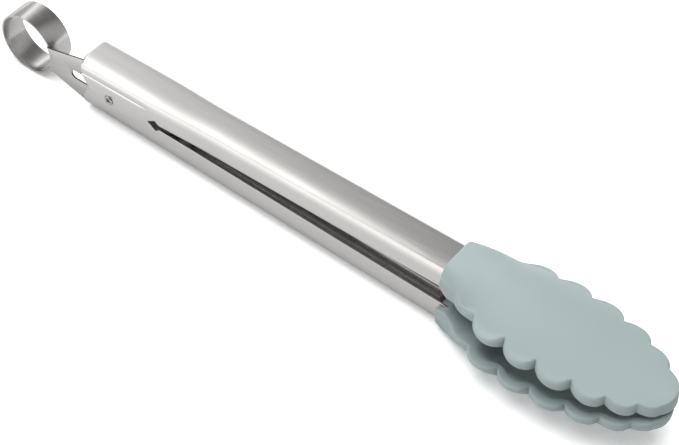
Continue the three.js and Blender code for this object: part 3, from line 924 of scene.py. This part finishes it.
def make_camera():
    data = bpy.data.cameras.new("camera")
    data.sensor_width = 36
    data.lens = CAMERA_LENS
    data.clip_start = 0.05
    camera = bpy.data.objects.new("camera", data)
    bpy.context.scene.collection.objects.link(camera)
    turn = Matrix.Rotation(CAMERA_AZIMUTH, 4, "Z") @ Matrix.Rotation(math.pi / 2 - CAMERA_ELEVATION, 4, "X")
    camera.matrix_world = Matrix.Translation(CAMERA_PLACE) @ turn @ Matrix.Rotation(CAMERA_ROLL, 4, "Z")
    bpy.context.scene.camera = camera


def soft_box(name, place, target, size, power):
    """A large soft lamp that lights the scene without showing as a shape in the steel."""
    data = bpy.data.lights.new(name, "AREA")
    data.shape = "RECTANGLE"
    data.size, data.size_y = size
    data.energy = power
    light = bpy.data.objects.new(name, data)
    bpy.context.scene.collection.objects.link(light)
    light.location = place
    light.rotation_euler = (Vector(target) - Vector(place)).to_track_quat("-Z", "Y").to_euler()
    light.visible_glossy = False


# The wall's brightness by how far a direction leans left of the edge of the bright side. The edge is sharp
# in front of the tongs and softens towards the back.
WALL_TONES = (
    (-2.2, 0.1), (-1.6, 0.35), (-1.35, 0.6), (-1.1, 0.5), (-0.8, 0.19),
    (-0.5, 0.25), (-0.25, 0.34), (-0.18, 0.48), (-0.12, 0.62), (-0.07, 0.8),
    (-0.02, 0.95), (0.03, 1.05), (0.07, 1.35), (0.13, 1.9), (0.25, 2.4),
)
WALL_EDGE = 0.49
WALL_LEAN = 0.12
WALL_END = (0.13, 0.24)                             # where the bright side ends, from and to
WALL_REST = 0.25                                    # share of the light that is left past its end
WALL_SOFT = (0.69, 0.57, 0.2)                       # softness in the middle, growth to the back, least


def world_math(tree, operation, *values):
    """A sum on numbers and other nodes' outputs."""
    node = tree.nodes.new("ShaderNodeMath")
    node.operation = operation
    for socket, value in zip(node.inputs, values):
        if isinstance(value, float):
            socket.default_value = value
        else:
            tree.links.new(value, socket)
    return node.outputs["Value"]


def make_world():
    """A dark studio with one bright side, to the left of the tongs and in front of them."""
    world = bpy.data.worlds.new("studio")
    bpy.context.scene.world = world
    world.use_nodes = True
    tree = world.node_tree
    coordinates = tree.nodes.new("ShaderNodeTexCoord")
    split = tree.nodes.new("ShaderNodeSeparateXYZ")
    tree.links.new(coordinates.outputs["Generated"], split.inputs["Vector"])
    back = split.outputs["Y"]
    edge = world_math(tree, "MULTIPLY_ADD", back, -WALL_LEAN, -WALL_EDGE)
    lean = world_math(tree, "SUBTRACT", edge, split.outputs["X"])
    middle, growth, least = WALL_SOFT
    soft = world_math(tree, "MULTIPLY_ADD", back, growth, middle)
    soft = world_math(tree, "MAXIMUM", soft, least)
    first, last = WALL_TONES[0][0], WALL_TONES[-1][0]
    span = tree.nodes.new("ShaderNodeMapRange")
    span.inputs["From Min"].default_value = first
    span.inputs["From Max"].default_value = last
    tree.links.new(world_math(tree, "DIVIDE", lean, soft), span.inputs["Value"])
    ramp_node = tree.nodes.new("ShaderNodeValToRGB")
    stops = ramp_node.color_ramp.elements
    brightest = WALL_TONES[-1][1]
    while len(stops) < len(WALL_TONES):
        stops.new(0.5)
    for stop, (at, tone) in zip(stops, WALL_TONES):
        stop.position = (at - first) / (last - first)
        stop.color = (tone / brightest, tone / brightest, tone / brightest, 1)
    tree.links.new(span.outputs["Result"], ramp_node.inputs["Fac"])
    left = tree.nodes.new("ShaderNodeMapRange")
    left.inputs["From Min"].default_value, left.inputs["From Max"].default_value = WALL_END
    left.inputs["To Min"].default_value = brightest
    left.inputs["To Max"].default_value = brightest * WALL_REST
    tree.links.new(lean, left.inputs["Value"])
    background = tree.nodes["Background"]
    tree.links.new(left.outputs["Result"], background.inputs["Strength"])
    tree.links.new(ramp_node.outputs["Color"], background.inputs["Color"])


FLOOR_TONE = 0.9
FLOOR_SHADE_MIDDLE = 0.02                                 # y of the middle line of the painted shade that reflections see, metres
FLOOR_SHADE_FADE = (0.082, 0.052)                         # how far from that line the painted shade fades out
# Painted shade: the floor's tone near the tongs, as reflections see it.
FLOOR_SHADE_TONE = 0.56
FLOOR_LIT_TONE = 0.94                               # painted lighter tone that reflections see away from the tongs
FLOOR_GLOW = 0.24
FLOOR_REACH = 3.0


def floor_paint():
    """White paint, lifted a little for the camera by an even glow. Reflections see painted shade on it near
    the tongs and a slightly lighter painted tone away from them."""
    nodes = Nodes("floor_white_with_painted_shade")
    paths = nodes.add("ShaderNodeLightPath")
    split = nodes.add("ShaderNodeSeparateXYZ")
    nodes.join(nodes.add("ShaderNodeNewGeometry").outputs["Position"], split.inputs["Vector"])
    offset = nodes.add("ShaderNodeMath", operation="SUBTRACT")
    offset.inputs[1].default_value = FLOOR_SHADE_MIDDLE
    nodes.join(split.outputs["Y"], offset.inputs[0])
    away = nodes.add("ShaderNodeMath", operation="ABSOLUTE")
    nodes.join(offset.outputs["Value"], away.inputs[0])
    near = nodes.add("ShaderNodeMapRange")
    near.inputs["From Min"].default_value, near.inputs["From Max"].default_value = FLOOR_SHADE_FADE
    nodes.join(away.outputs["Value"], near.inputs["Value"])
    painted_reflection_tone = nodes.mix(near.outputs["Result"], (FLOOR_LIT_TONE,) * 3, (FLOOR_SHADE_TONE,) * 3)
    tone = nodes.mix(paths.outputs["Is Glossy Ray"], (FLOOR_TONE,) * 3, painted_reflection_tone)
    nodes.join(tone, nodes.shader.inputs["Base Color"])
    glow = nodes.add("ShaderNodeMath", operation="MULTIPLY")
    glow.inputs[1].default_value = FLOOR_GLOW
    nodes.join(paths.outputs["Is Camera Ray"], glow.inputs[0])
    nodes.join(glow.outputs["Value"], nodes.shader.inputs["Emission Strength"])
    nodes.shader.inputs["Emission Color"].default_value = (1, 1, 1, 1)
    nodes.shader.inputs["Roughness"].default_value = 0.7
    return nodes


def make_studio():
    mesh = bpy.data.meshes.new("floor")
    corners = [(x * FLOOR_REACH, y * FLOOR_REACH, 0) for x, y in ((-1, -1), (1, -1), (1, 1), (-1, 1))]
    mesh.from_pydata(corners, [], [(0, 1, 2, 3)])
    floor = bpy.data.objects.new("floor", mesh)
    bpy.context.scene.collection.objects.link(floor)
    nodes = floor_paint()
    mesh.materials.append(nodes.material)
    soft_box("top_box", place=(-0.1, 0.05, 0.95), target=(0, 0, 0), size=(1.1, 1.1), power=15)
    soft_box("front_fill", place=(0.1, -0.9, 0.22), target=(0.1, 0, 0.02), size=(1.2, 0.35), power=0.9)
    make_world()
    bpy.context.scene.view_settings.view_transform = "Standard"


def paint_bushing():
    """The bushing keeps its CAD mesh and takes the rivet's steel."""
    materials = frame["nodes"]["slot_bushing"].data.materials
    materials.clear()
    materials.append(RIVET_STEEL)


make_camera()
make_studio()
make_arms()
make_heads()
make_rivet()
make_spring()
make_plate()
make_ring()
paint_bushing()
